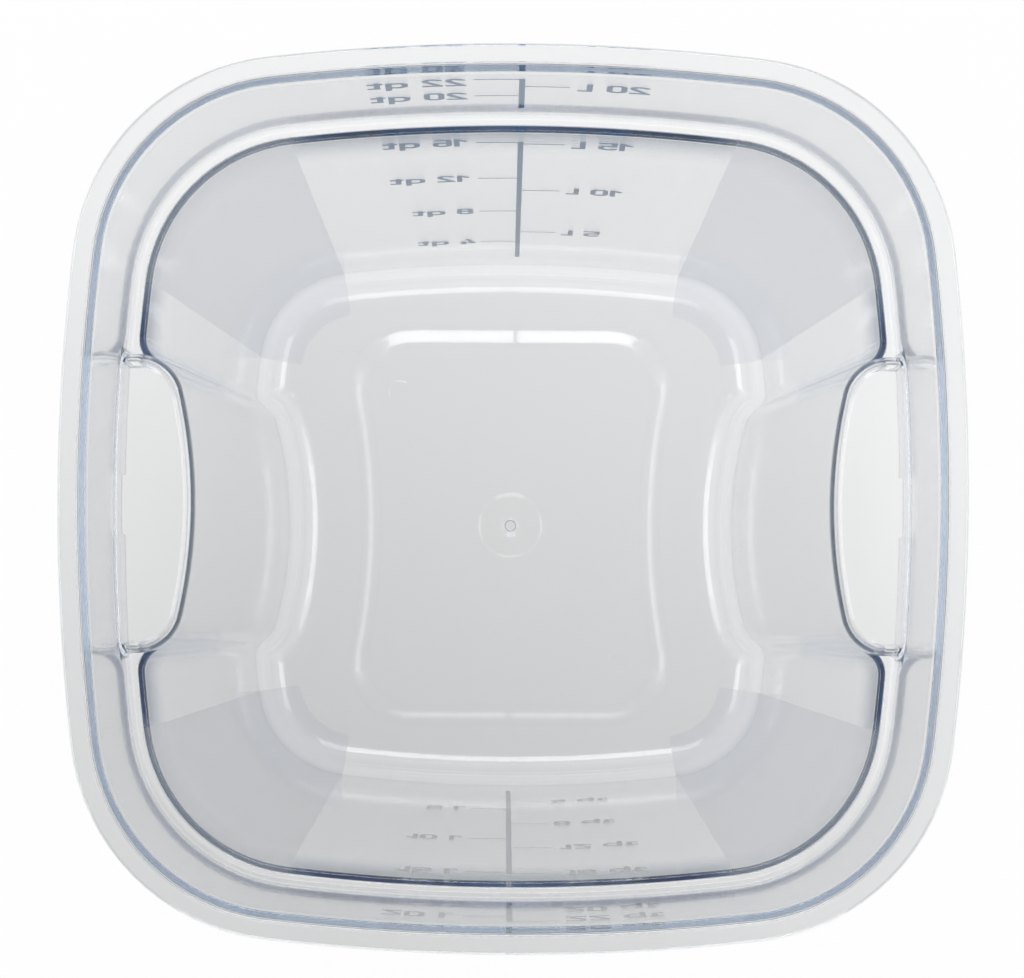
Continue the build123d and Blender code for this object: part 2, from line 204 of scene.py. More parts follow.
class ScalePrintSizes(bpy.types.PropertyGroup):
    """Ticks and ink of the printed scales."""

    ink: length("Ink", "Thickness of the ink film", 0.00015)
    ink_bond: length("Ink Bond", "How far the plastic wets into the ink", 0.00005)
    bar_width: length("Bar Width", "Width of the upright bar", 0.002)
    tick_length: length("Tick Length", "Length of one tick", 0.0146)
    tick_width: length("Tick Width", "Width of one tick", 0.001)
    rear_shift: length("Rear Shift", "Sideways place of the rear bar", 0.0024)
    front_shift: length("Front Shift", "Sideways place of the front bar", 0.0005)
    ink_tint: tint("Ink Colour", "Slate blue screen ink", "#4590C8")
    # Painted lightening: the front print is the same ink as the rear one, given this paler colour
    # for how the front print is seen through the front wall
    front_ink_painted_pale_tint: tint("Front Ink Colour", "The same ink, thin and pale", "#E6ECF2")


class ClearPlasticFinish(bpy.types.PropertyGroup):
    """Looks of the moulded polycarbonate."""

    tint: tint("Absorption Colour", "What a long way through the plastic lets through", "#009CDC")
    density: number("Absorption Density", "Absorption per metre of plastic", 5.2)
    refraction: number("IOR", "Index of refraction of polycarbonate", 1.585)
    grain_tint: tint("Grain Colour", "What the finely textured corners let through", "#F1F4FB")
    gloss_roughness: number("Gloss Roughness", "Roughness of the polished faces", 0.08)
    grain_roughness: number("Grain Roughness", "Roughness of the finely textured corners", 0.28)


class StageSettings(bpy.types.PropertyGroup):
    """Floor, light and camera."""

    floor_half_width: length("Floor Half Width", "Half width of the floor", 4.0)
    floor_drop: length("Floor Drop", "Gap between floor and base, too small to see", 0.0003)
    floor_tint: tint("Floor Colour", "Matt white paper", "#F2F2F2")
    camera_white: number("Camera White", "Share of plain white in the floor, to the camera", 0.95)
    glass_white: number("Glass White", "Share of plain white in the floor, in the plastic", 0.7)
    # Painted light: these gains slope the floor's white in the plastic, in place of the soft boxes'
    # light falling off across the sweep
    rear_painted_light_gain: number("Rear Gain", "Gain of that white per metre towards the rear", 1.0)
    right_painted_light_gain: number("Right Gain", "Gain of that white per metre towards the right", 0.4)
    side_strength: number("Side Strength", "Light from the tent's sides", 1.05)
    top_strength: number("Top Strength", "Light from the tent's top", 0.5)
    room_share: number("Room Share", "Share of that light near the horizon", 0.35)
    lamp_power: number("Lamp Power", "Each soft box, in watts, before its own share", 3.3)
    lamp_width: length("Lamp Width", "Width of a soft box", 0.9)
    lamp_depth: length("Lamp Depth", "Depth of a soft box", 0.4)
    lamp_distance: length("Lamp Distance", "From the middle of the tub to a soft box", 1.5)
    lens: number("Lens", "Focal length in millimetres on a 36 mm sensor", 98.4)
    shift_x: number("Shift X", "Sideways framing of the photograph", 0.0077)
    shift_y: number("Shift Y", "Upward framing of the photograph", 0.0937)
    camera_place: FloatVectorProperty(
        name="Camera Place",
        description="Where the camera stands",
        default=(-0.0027, -0.02703, 1.280),
        unit="LENGTH",
        subtype="XYZ",
    )
    camera_turn: FloatProperty(
        name="Camera Turn",
        description="Turn about the line of sight",
        default=radians(0.26),
        unit="ROTATION",
        subtype="ANGLE",
    )


# Plans and profiles that follow from the sizes


def between(level, low_level, high_level, low_size, high_size):
    """Size at a level on a straight line between two levels."""
    return low_size + (high_size - low_size) * (level - low_level) / (high_level - low_level)


def arc_points(centre_x, centre_y, radius, start, end, steps):
    """Points along an arc without its first one."""
    turns = [start + (end - start) * step / steps for step in range(1, steps + 1)]
    return [(centre_x + radius * cos(turn), centre_y + radius * sin(turn)) for turn in turns]


def line_points(start, end, steps):
    """Points along a line without its first one."""
    run, rise = end[0] - start[0], end[1] - start[1]
    shares = [step / steps for step in range(1, steps + 1)]
    return [(start[0] + run * share, start[1] + rise * share) for share in shares]


def eased(share):
    """Share of a height at a share of the way along a soft slope."""
    return share * share * (3 - 2 * share)


class TubForm:
    """Turns the sizes into rows of points that run from the +X axis to the +Y axis.

    Every row has the same stretches, so that any two rows can be joined point by point: the
    pocket's front, its corner, its side, the blend into the wall in two halves, the side wall, the
    corner and the end wall.
    """

    FRONT, CORNER, SIDE, BLEND, WALL, ROUND, END = 14, 10, 6, 4, 10, 16, 16
    NOTCH, OUTLINE = 7, 60

    def __init__(self, walls, pocket, panel, scale):
        self.walls = walls
        self.pocket = pocket
        self.panel = panel
        self.bond = scale.ink_bond
        self.lip_index = self.FRONT + self.CORNER + self.SIDE + self.BLEND
        self.blend_index = self.lip_index + self.BLEND
        self.ledge_level = walls.height - walls.ledge_depth
        self.underside_level = self.ledge_level - walls.wall
        self.shelf_level = walls.height - pocket.shelf_depth
        self.roof_level = self.shelf_level - walls.wall
        self.outer_floor_round = walls.floor_round + walls.wall
        self.half_at_rim = walls.rim_half_width - walls.flange_width
        self.band_half_at_ledge = self.half_at_rim - walls.upper_taper
        self.lower_half_at_ledge = self.band_half_at_ledge - walls.ledge_width
        self.lower_half_at_floor = self.lower_half_at_ledge - walls.lower_taper
        self.reach_at_shelf = self.band_half_at_ledge - pocket.depth_at_shelf
        self.reach_at_floor = self.lower_half_at_floor - pocket.depth_at_floor
        self.panel_length = self.lower_half_at_floor - panel.end_margin
        self.panel_waist = self.reach_at_floor - panel.side_margin
        self.side_centre = walls.side_radius - walls.rim_half_width
        gap = walls.side_radius - walls.corner_radius
        self.corner_centre = (sqrt(2 * gap**2 - self.side_centre**2) - self.side_centre) / 2
        self.side_angle = atan2(self.corner_centre, self.corner_centre + self.side_centre)

    def lower_half(self, level):
        """Inner half width of the lower wall."""
        halves = self.lower_half_at_floor, self.lower_half_at_ledge
        return between(level, self.walls.floor_thickness, self.ledge_level, *halves)

    def lower_outer_half(self, level):
        """Outer half width of the lower wall, wetted a little way into the ink."""
        foot, top = self.outer_floor_round, self.underside_level - self.walls.underside_round
        half = between(level, foot, top, self.lower_half(foot), self.lower_half_at_ledge)
        return half + self.walls.wall + self.bond

    def band_half(self, level):
        """Inner half width of the upper band."""
        halves = self.band_half_at_ledge, self.half_at_rim
        return between(level, self.ledge_level, self.walls.height, *halves)

    def reach(self, level):
        """How far from the middle the pocket's front stands."""
        reaches = self.reach_at_floor, self.reach_at_shelf
        return between(level, self.walls.floor_thickness, self.shelf_level, *reaches)

    def pocket_half(self, level):
        """Half width of the pocket."""
        halves = self.pocket.half_at_floor, self.pocket.half_at_shelf
        return between(level, self.walls.floor_thickness, self.shelf_level, *halves)

    def wall_radius(self, half_width):
        """Radius of the bowed side at a half width."""
        return self.walls.side_radius - self.walls.rim_half_width + half_width

    def wall_place(self, half_width, across):
        """Point of the bowed side at a distance from the X axis."""
        return sqrt(self.wall_radius(half_width) ** 2 - across**2) - self.side_centre, across

    def wall_tail(self, half_width, start_angle):
        """The rest of the wall from an angle of its side: side, corner and end."""
        radius = self.wall_radius(half_width)
        corner = self.walls.corner_radius - self.walls.rim_half_width + half_width
        turn, last_turn = self.side_angle, pi / 2 - self.side_angle
        middle = self.corner_centre
        points = arc_points(-self.side_centre, 0, radius, start_angle, turn, self.WALL)
        points += arc_points(middle, middle, corner, turn, last_turn, self.ROUND)
        return points + arc_points(0, -self.side_centre, radius, last_turn, pi / 2, self.END)

    def notch_spread(self, across):
        """Distances from the X axis up to a given one, with two close together at the notch."""
        notch = self.pocket.notch_half_width
        # The notch's side slants by this much, because no two points may stand in one place
        slant = notch * 0.04
        places = [notch * step / self.NOTCH for step in range(self.NOTCH + 1)]
        rest = self.lip_index - self.NOTCH - 1
        start = notch + slant
        return places + [start + (across - start) * step / rest for step in range(rest + 1)]

    def ring(self, level, half_width, lip, blend):
        """Row of a plain bowed square, with its points near the pocket at the given distances."""
        places = self.notch_spread(lip)
        places += [lip + (blend - lip) * step / self.BLEND for step in range(1, self.BLEND + 1)]
        points = [self.wall_place(half_width, place) for place in places]
        points += self.wall_tail(half_width, atan2(blend, points[-1][0] + self.side_centre))
        return [(x, y, level) for x, y in points]

    def pocket_corner(self, level):
        """Middle of the pocket's round corner, and the turn at which its front runs into it."""
        pocket = self.pocket
        rise = self.pocket_half(level) - pocket.corner_radius
        run = sqrt((pocket.front_radius - pocket.corner_radius) ** 2 - rise**2)
        return self.reach(level) + pocket.front_radius - run, rise, atan2(rise, -run)

    def pocket_front(self, level, growth, end_turn):
        """Front and corner of the pocket, from the X axis to a turn about the corner's middle."""
        pocket = self.pocket
        corner_x, corner_y, turn = self.pocket_corner(level)
        front_x = self.reach(level) + pocket.front_radius
        points = [(self.reach(level) - growth, 0.0)]
        points += arc_points(front_x, 0, pocket.front_radius + growth, pi, turn, self.FRONT)
        return points + arc_points(
            corner_x, corner_y, pocket.corner_radius + growth, turn, end_turn, self.CORNER
        )

    def blend_middle(self, level, half_width, growth, blend):
        """Middle of the round that joins the pocket to the wall, and the turn at which it starts.

        Where the pocket stands out far enough, a straight side lies between its corner and the
        round. Elsewhere the corner runs straight into the round, in one S.
        """
        corner_x, corner_y, _ = self.pocket_corner(level)
        inner = self.wall_radius(half_width) - blend
        middle_y = self.pocket_half(level) + growth + blend
        middle_x = sqrt(inner**2 - middle_y**2) - self.side_centre
        if middle_x >= corner_x:
            return middle_x, middle_y, pi / 2
        joined = self.pocket.corner_radius + growth + blend
        across_x, across_y = corner_x + self.side_centre, corner_y
        gap = sqrt(across_x**2 + across_y**2)
        along = (inner**2 - joined**2 + gap**2) / (2 * gap)
        aside = sqrt(inner**2 - along**2)
        middle_x = (across_x * along - across_y * aside) / gap - self.side_centre
        middle_y = (across_y * along + across_x * aside) / gap
        return middle_x, middle_y, atan2(middle_y - corner_y, middle_x - corner_x)

    def foot_blend(self, growth):
        """Radius of that round where the walls run into the floor."""
        return max(self.pocket.wall_blend - growth, self.pocket.least_blend)

    def hollow(self, level, half_width, growth, blend=None):
        """Row that goes round the pocket and on along the wall."""
        blend = self.foot_blend(growth) if blend is None else blend
        middle_x, middle_y, turn = self.blend_middle(level, half_width, growth, blend)
        wall_turn = atan2(middle_y, middle_x + self.side_centre)
        points = self.pocket_front(level, growth, turn)
        side_end = middle_x + blend * cos(turn - pi), middle_y + blend * sin(turn - pi)
        points += line_points(points[-1], side_end, self.SIDE)
        points += arc_points(middle_x, middle_y, blend, turn - pi, wall_turn, 2 * self.BLEND)
        points += self.wall_tail(half_width, wall_turn)
        return [(x, y, level) for x, y in points]

    def cup(self, level, growth, turn):
        """Row of the finger space's skin, from the X axis to the corner behind the lip."""
        corner_x, corner_y, _ = self.pocket_corner(level)
        radius = self.pocket.corner_radius + growth
        points = self.pocket_front(level, growth, turn)
        points += arc_points(corner_x, corner_y, radius, turn, pi / 2, self.SIDE)
        corner = self.wall_place(self.band_half_at_ledge, self.pocket_half(level) + growth)
        points += line_points(points[-1], corner, self.BLEND)
        return [(x, y, level) for x, y in points]

    def lip(self, level, growth):
        """Row along the lip's inner face, from the X axis to the corner behind the lip."""
        places = self.notch_spread(self.pocket_half(level) + growth)
        return [(*self.wall_place(self.band_half_at_ledge, place), level) for place in places]

    def panel_radii(self, growth, turns):
        """Distance of the floor panel's outline from the middle, at each turn."""
        panel = self.panel
        waist, reach = self.panel_waist + growth, self.panel_length + growth
        corner, hollow = panel.corner_radius + growth, panel.waist_radius - growth
        rise = reach - corner
        run = sqrt((hollow + corner) ** 2 - rise**2)
        centre_x = waist + hollow - run
        turn = atan2(rise, -run)
        outline = [(waist, 0.0)]
        outline += arc_points(waist + hollow, 0, hollow, pi, turn, self.OUTLINE)
        outline += arc_points(centre_x, rise, corner, turn - pi, pi / 2, self.OUTLINE)
        outline += line_points(outline[-1], (0.0, reach), self.OUTLINE)
        polar = [(atan2(y, x), sqrt(x * x + y * y)) for x, y in outline]
        radii = []
        place = 0
        for turn in turns:
            while place < len(polar) - 2 and polar[place + 1][0] < turn:
                place += 1
            (low, low_radius), (high, high_radius) = polar[place], polar[place + 1]
            radii.append(between(turn, low, high, low_radius, high_radius))
        return radii


def round_profile(level, size, radius, start, end, steps):
    """Levels and sizes along one arc of the upright profile."""
    turns = [radians(start + (end - start) * step / steps) for step in range(steps + 1)]
    return [(level + radius * sin(turn), size + radius * cos(turn)) for turn in turns]


# Meshes


class QuarterMesh:
    """Points and faces of the quarter where X and Y are positive, with its doubles merged."""

    def __init__(self):
        self.points = []
        self.places = {}
        self.faces = []
        self.grain = []

    def index(self, point):
        """Index of a point, the same one for points that fall together."""
        key = tuple(round(value * 1e7) for value in point)
        if key not in self.places:
            self.places[key] = len(self.points)
            self.points.append(point)
        return self.places[key]

    def strip(self, lower, upper, first=0, last=None, grained=()):
        """Join two rows point by point, from one index to another."""
        last = len(lower) - 1 if last is None else last
        for place in range(first, last):
            corners = []
            for point in (lower[place], lower[place + 1], upper[place + 1], upper[place]):
                corner = self.index(point)
                if corner not in corners:
                    corners.append(corner)
            if len(corners) > 2:
                self.faces.append(corners)
                self.grain.append(1.0 if place in grained else 0.0)

    def rows(self, rows, first=0, last=None, grained=()):
        """Join each row to the next."""
        for lower, upper in zip(rows, rows[1:]):
            self.strip(lower, upper, first, last, grained)

    def to_mesh(self, name):
        """Turn the points and faces into a mesh with its grain as a face attribute."""
        mesh = bpy.data.meshes.new(name)
        mesh.from_pydata(self.points, [], self.faces)
        mesh.attributes.new("fine_grain", "FLOAT", "FACE").data.foreach_set("value", self.grain)
        return mesh


def even_turns(outline):
    """A turn about the middle for each point of a row, in step with the way along the row."""
    pairs = zip(outline, outline[1:])
    steps = [sqrt((x - u) ** 2 + (y - v) ** 2) for (x, y, _), (u, v, _) in pairs]
    return [sum(steps[:place]) / sum(steps) * pi / 2 for place in range(len(outline))]


def floor_rows(form, outline, level):
    """Rows from the floor's outline up the slope to the raised panel."""
    panel = form.panel
    turns = even_turns(outline)
    rows = [outline]
    # One level row more on each side of the slope
    for step in range(-1, SLOPE_STEPS + 2):
        share = step / SLOPE_STEPS
        growth = panel.slope_width * (0.5 - share)
        height = level + panel.rise * eased(min(max(share, 0), 1))
        radii = form.panel_radii(growth, turns)
        rows.append([(r * cos(turn), r * sin(turn), height) for r, turn in zip(radii, turns)])
    return rows, turns


def gate_rings(panel, level, step):
    """Radii and levels of the slope down into the round well at the gate."""
    shares = [place / SLOPE_STEPS for place in range(SLOPE_STEPS + 1)]
    radii = [panel.gate_radius + panel.gate_slope * (0.5 - share) for share in shares]
    return [(radius, level + step * eased(share)) for radius, share in zip(radii, shares)]


def disc_rows(turns, rings):
    """Rows of circles about the middle, given as radii and levels."""
    return [[(r * cos(turn), r * sin(turn), level) for turn in turns] for r, level in rings]


def inner_surface(form, mesh):
    """Floor, lower wall, ledge, pocket and upper band, up to the rim. Returns the last row."""
    walls, pocket = form.walls, form.pocket
    blend, band_blend = pocket.wall_blend, pocket.band_blend
    top = walls.floor_thickness + walls.floor_round
    rows = []
    for level, size in round_profile(top, 0, walls.floor_round, -90, 0, FLOOR_STEPS):
        growth = walls.floor_round - size
        half = form.lower_half(top) - growth
        rows.append(form.hollow(level, half, growth))
    bottom_rows, turns = floor_rows(form, rows[0], walls.floor_thickness)
    crown, depth = walls.floor_thickness + form.panel.rise, form.panel.gate_depth
    mesh.rows(bottom_rows)
    rings = gate_rings(form.panel, crown, -depth) + [(0.0, crown - depth)]
    mesh.rows([bottom_rows[-1]] + disc_rows(turns, rings))
    brim = form.ledge_level - walls.ledge_round
    for step in range(WALL_STEPS + 1):
        level = between(step, 0, WALL_STEPS, top + SUPPORT, brim - SUPPORT)
        rows.append(form.hollow(level, form.lower_half(level), 0, blend))
    edge = form.lower_half_at_ledge + walls.ledge_round
    for level, size in round_profile(brim, edge, walls.ledge_round, 180, 90, EDGE_STEPS):
        rows.append(form.hollow(level, size, 0, blend))
    root = form.band_half_at_ledge - walls.ledge_round
    for step in range(1, LEDGE_STEPS):
        share = step / LEDGE_STEPS
        level = form.ledge_level + walls.flat_rise * share
        mixed_blend = blend + (band_blend - blend) * eased(share)
        rows.append(form.hollow(level, edge + (root - edge) * share, 0, mixed_blend))
    root_level = form.ledge_level + walls.flat_rise + walls.ledge_round
    for level, size in round_profile(root_level, root, walls.ledge_round, -90, 0, EDGE_STEPS):
        rows.append(form.hollow(level, size, 0, band_blend))
    shelf_foot = form.shelf_level - pocket.shelf_round
    for level in [between(share, 0, 10, root_level, shelf_foot) for share in (1, 9)]:
        rows.append(form.hollow(level, form.band_half(level), 0, band_blend))
    shelf_round = pocket.shelf_round
    for level, size in round_profile(shelf_foot, -shelf_round, shelf_round, 0, 90, SHELF_STEPS):
        rows.append(form.hollow(level, form.band_half(level), size, band_blend))
    mesh.rows(rows)
    brink = rows[-1]
    marks = brink[form.lip_index][1], brink[form.blend_index][1]
    shelf = form.ring(form.shelf_level, form.band_half(form.shelf_level), *marks)
    roots = shelf_roots(form, shelf)
    # A row close to the brink keeps the shading of the flat top flat
    inward = [
        tuple(near + (far - near) * 0.12 for near, far in zip(*pair))
        for pair in zip(brink, roots[0])
    ]
    mesh.rows([brink, inward] + roots, last=form.blend_index)
    rings = [roots[-1]]
    mouth = walls.height - walls.mouth_round
    # So do the first and last of these, for the band
    for share in (0.03, 0.25, 0.5, 0.75, 0.98):
        level = between(share, 0, 1, form.shelf_level, mouth)
        rings.append(form.ring(level, form.band_half(level), *marks))
    edge = form.half_at_rim + walls.mouth_round
    for level, size in round_profile(mouth, edge, walls.mouth_round, 180, 90, EDGE_STEPS):
        rings.append(form.ring(level, size, *marks))
    mesh.rows(rings)
    return rings[-1]


def shelf_roots(form, shelf):
    """Rows of the small round between the pocket's top and the band. It fades out at its ends."""
    rows = []
    for step in range(ROOT_STEPS + 1):
        turn = pi / 2 * step / ROOT_STEPS
        row = []
        for place, (x, y, level) in enumerate(shelf):
            share = min(max((form.blend_index - place) / (2 * form.BLEND), 0), 1)
            radius = form.pocket.root_round * eased(share)
            row.append((x - radius * (1 - sin(turn)), y, level + radius * (1 - cos(turn))))
        rows.append(row)
    return rows


def rim_and_band(form, mesh, start):
    """Rim flange and outside of the upper band, down to the lip's lower edge. Returns that edge."""
    walls = form.walls
    lip = form.pocket_half(form.underside_level) - walls.wall
    marks = lip, lip + form.pocket.wall_blend + walls.wall
    edge_round, root_round = walls.flange_edge_round, walls.flange_root_round
    edge = walls.rim_half_width - edge_round
    underside = walls.height - walls.flange_thickness
    inner = form.half_at_rim + walls.mouth_round
    profile = [(walls.height, between(share, 0, 1, inner, edge)) for share in (0.1, 0.9)]
    profile += round_profile(walls.height - edge_round, edge, edge_round, 90, 0, EDGE_STEPS)
    profile += round_profile(underside + edge_round, edge, edge_round, 0, -90, EDGE_STEPS)
    root = form.half_at_rim + walls.wall + form.bond + root_round
    root_level = underside - walls.flat_rise - root_round
    profile += round_profile(root_level, root, root_round, 90, 180, SMALL_STEPS)
    rows = [start] + [form.ring(level, size, *marks) for level, size in profile]
    foot = form.underside_level + walls.flat_rise + walls.wall
    # The last row stands just above the notch
    clear = foot + form.pocket.notch_height + 0.0012
    for level in [between(share, 0, 1, root_level, clear) for share in (0.02, 0.3, 0.6, 1.0)]:
        half = between(level, foot, root_level, form.band_half_at_ledge, form.half_at_rim)
        rows.append(form.ring(level, half + walls.wall + form.bond, *marks))
    for level, size in round_profile(foot, form.band_half_at_ledge, walls.wall, 0, -90, LIP_STEPS):
        bond = form.bond * (size - form.band_half_at_ledge) / walls.wall
        rows.append(notched(form, form.ring(level, size + bond, *marks)))
    mesh.rows(rows)
    return rows[-1]


def notched(form, row):
    """Lift the middle of the lip's edge over the notch."""
    lift = form.pocket.notch_height
    return [(x, y, z + lift if place <= form.NOTCH else z) for place, (x, y, z) in enumerate(row)]


def finger_space(form, mesh, edge):
    """Space behind the lip, closed by a flat roof. Returns the row where the lower shell starts."""
    walls = form.walls
    skin = -walls.wall
    foot = form.underside_level + walls.flat_rise
    top_round = form.pocket.shelf_round - walls.wall
    head = form.roof_level - top_round
    levels = [(foot, skin)] + [(between(share, 0, 1, foot, head), skin) for share in (0.6, 0.95)]
    levels += round_profile(head, skin - top_round, top_round, 0, 90, SMALL_STEPS)
    side = form.lower_half_at_ledge + walls.wall + form.bond + walls.underside_round
    turn = form.blend_middle(form.underside_level, side, skin, form.foot_blend(skin))[2]
    skins = [form.cup(level, growth, turn) for level, growth in levels]
    skins[0][-1] = edge[form.lip_index]
    lips = [edge[: form.lip_index + 1]] + [form.lip(level, growth) for level, growth in levels[1:]]
    mesh.rows(skins)
    mesh.rows(lips)
    mesh.strip(skins[-1], lips[-1])
    return skins[0] + edge[form.lip_index + 1 :]


def lower_shell(form, mesh, start):
    """Outside of the lower wall and of the pockets, and the underside of the floor."""
    walls, pocket, panel = form.walls, form.pocket, form.panel
    grained = range(form.blend_index + form.WALL, form.blend_index + form.WALL + form.ROUND)
    skin = -walls.wall
    side = form.lower_half_at_ledge + walls.wall + form.bond
    top_round = walls.underside_round
    turn_level = form.underside_level - top_round
    rows = [start]
    for level, size in round_profile(turn_level, side + top_round, top_round, 90, 180, SMALL_STEPS):
        rows.append(form.hollow(level, size, skin))
    mesh.rows(rows)
    foot = form.outer_floor_round
    rows = [rows[-1]]
    for step in range(WALL_STEPS + 1):
        level = between(step, 0, WALL_STEPS, turn_level - SUPPORT, foot + SUPPORT)
        rows.append(form.hollow(level, form.lower_outer_half(level), skin))
    base = form.lower_outer_half(foot) - foot
    for level, size in round_profile(foot, 0, foot, 0, -90, FLOOR_STEPS):
        growth = walls.floor_round - size
        rows.append(form.hollow(level, base + size, growth))
    mesh.rows(rows, grained=grained)
    bottom_rows, turns = floor_rows(form, rows[-1], 0.0)
    mesh.rows(bottom_rows)
    crown, well = panel.rise, panel.rise + panel.gate_depth / 2
    stub = well - panel.nub_height
    rings = gate_rings(panel, crown, panel.gate_depth / 2)
    nub = panel.nub_radius
    rings += [(nub * 1.2, well), (nub, well - panel.nub_height * 0.2)]
    rings += [(nub * 0.9, stub + 0.0002), (nub * 0.55, stub), (0.0, stub + 0.0001)]
    mesh.rows([bottom_rows[-1]] + disc_rows(turns, rings))


def finish_mesh(mesh):
    """Merge doubles, turn every face outwards, check that the shell is closed, and smooth it."""
    work = bmesh.new()
    work.from_mesh(mesh)
    bmesh.ops.remove_doubles(work, verts=work.verts, dist=MERGE_DISTANCE)
    bmesh.ops.recalc_face_normals(work, faces=work.faces)
    open_edges = sum(1 for edge in work.edges if len(edge.link_faces) != 2)
    volume = work.calc_volume(signed=True)
    work.to_mesh(mesh)
    work.free()
    if open_edges or volume <= 0:
        raise RuntimeError(f"{mesh.name}: {open_edges} open edges, volume {volume}")
    mesh.shade_smooth()
    mesh.set_sharp_from_angle(angle=SHARP_ANGLE)


# Node trees


def add_node(tree, kind, settings=None, inputs=None):
    """Add one node with its settings, and its inputs as values or as links from other sockets."""
    node = tree.nodes.new(kind)
    for name, value in (settings or {}).items():
        setattr(node, name, value)
    for name, value in (inputs or {}).items():
        if isinstance(value, bpy.types.NodeSocket):
            tree.links.new(value, node.inputs[name])
        else:
            node.inputs[name].default_value = value
    return node


def maths(tree, operation, *values):
    """Output of a new math node."""
    node = add_node(tree, "ShaderNodeMath", {"operation": operation}, dict(enumerate(values)))
    return node.outputs["Value"]


def vector_maths(tree, operation, *values):
    """Output of a new vector math node: a number for a length or a product, else a vector."""
    node = add_node(tree, "ShaderNodeVectorMath", {"operation": operation}, dict(enumerate(values)))
    return node.outputs["Value" if operation in ("LENGTH", "DOT_PRODUCT") else "Vector"]


def ranged(tree, value, ends, results, interpolation="LINEAR"):
    """Output of a new node that maps a value between two ends onto two results."""
    inputs = {"Value": value, "From Min": ends[0], "From Max": ends[1]}
    inputs |= {"To Min": results[0], "To Max": results[1]}
    node = add_node(tree, "ShaderNodeMapRange", {"interpolation_type": interpolation}, inputs)
    return node.outputs["Result"]


def mixed_tint(tree, share, first, last):
    """Output of a new node that mixes two colours."""
    inputs = {"Factor": share, "A": first, "B": last}
    return add_node(tree, "ShaderNodeMix", {"data_type": "RGBA"}, inputs).outputs["Result"]


def new_tree(name, sockets):
    """Geometry tree with a mesh in and out, and one named input for each size."""
    tree = bpy.data.node_groups.new(name, "GeometryNodeTree")
    tree.interface.new_socket("Geometry", in_out="INPUT", socket_type="NodeSocketGeometry")
    tree.interface.new_socket("Geometry", in_out="OUTPUT", socket_type="NodeSocketGeometry")
    for socket_name, socket_type in sockets:
        tree.interface.new_socket(socket_name, in_out="INPUT", socket_type=socket_type)
    return tree, tree.nodes.new("NodeGroupInput").outputs, tree.nodes.new("NodeGroupOutput")


def close_tree(tree, geometry, material, group_output):
    """End a tree with plain geometry that has its material."""
    real = add_node(tree, "GeometryNodeRealizeInstances", inputs={"Geometry": geometry})
    inputs = {"Geometry": real.outputs["Geometry"], "Material": material}
    dressed = add_node(tree, "GeometryNodeSetMaterial", inputs=inputs)
    tree.links.new(dressed.outputs["Geometry"], group_output.inputs["Geometry"])


def quarter_tree():
    """Tree that mirrors one quarter of the tub into the other three."""
    sockets = [("Merge Distance", "NodeSocketFloat"), ("Plastic", "NodeSocketMaterial")]
    tree, given, result = new_tree("Four Quarters", sockets)
    whole = given["Geometry"]
    for scale in ((-1, 1, 1), (1, -1, 1)):
        inputs = {"Geometry": whole, "Scale": scale}
        mirrored = add_node(tree, "GeometryNodeTransform", inputs=inputs).outputs["Geometry"]
        turned = add_node(tree, "GeometryNodeFlipFaces", inputs={"Mesh": mirrored})
        joined = add_node(tree, "GeometryNodeJoinGeometry")
        tree.links.new(whole, joined.inputs["Geometry"])
        tree.links.new(turned.outputs["Mesh"], joined.inputs["Geometry"])
        whole = joined.outputs["Geometry"]
    inputs = {"Geometry": whole, "Distance": given["Merge Distance"]}
    merged = add_node(tree, "GeometryNodeMergeByDistance", inputs=inputs)
    close_tree(tree, merged.outputs["Geometry"], given["Plastic"], result)
    return tree


def tick_tree():
    """Tree that puts one tick on each point and bends them all to the bow of the wall."""
    sizes = ("Tick Length", "Tick Width", "Ink Thickness", "Bow Radius", "Outward")
    sockets = [(size, "NodeSocketFloat") for size in sizes] + [("Ink", "NodeSocketMaterial")]
    tree, given, result = new_tree("Scale Ticks", sockets)
    inputs = {"X": given["Tick Length"], "Y": given["Ink Thickness"], "Z": given["Tick Width"]}
    size = add_node(tree, "ShaderNodeCombineXYZ", inputs=inputs).outputs["Vector"]
    inputs = {"Size": size, "Vertices X": 12, "Vertices Y": 2, "Vertices Z": 2}
    tick = add_node(tree, "GeometryNodeMeshCube", inputs=inputs)
    inputs = {"Points": given["Geometry"], "Instance": tick.outputs["Mesh"]}
    ticks = add_node(tree, "GeometryNodeInstanceOnPoints", inputs=inputs).outputs["Instances"]
    loose = add_node(tree, "GeometryNodeRealizeInstances", inputs={"Geometry": ticks})
    place = add_node(tree, "GeometryNodeInputPosition").outputs["Position"]
    across = add_node(tree, "ShaderNodeSeparateXYZ", inputs={"Vector": place}).outputs["X"]
    bow = given["Bow Radius"]
    across_square = maths(tree, "MULTIPLY", across, across)
    bow_square = maths(tree, "MULTIPLY", bow, bow)
    along = maths(tree, "SQRT", maths(tree, "SUBTRACT", bow_square, across_square))
    outward = maths(tree, "MULTIPLY", maths(tree, "SUBTRACT", along, bow), given["Outward"])
    offset = add_node(tree, "ShaderNodeCombineXYZ", inputs={"Y": outward}).outputs["Vector"]
    inputs = {"Geometry": loose.outputs["Geometry"], "Offset": offset}
    bent = add_node(tree, "GeometryNodeSetPosition", inputs=inputs)
    close_tree(tree, bent.outputs["Geometry"], given["Ink"], result)
    return tree


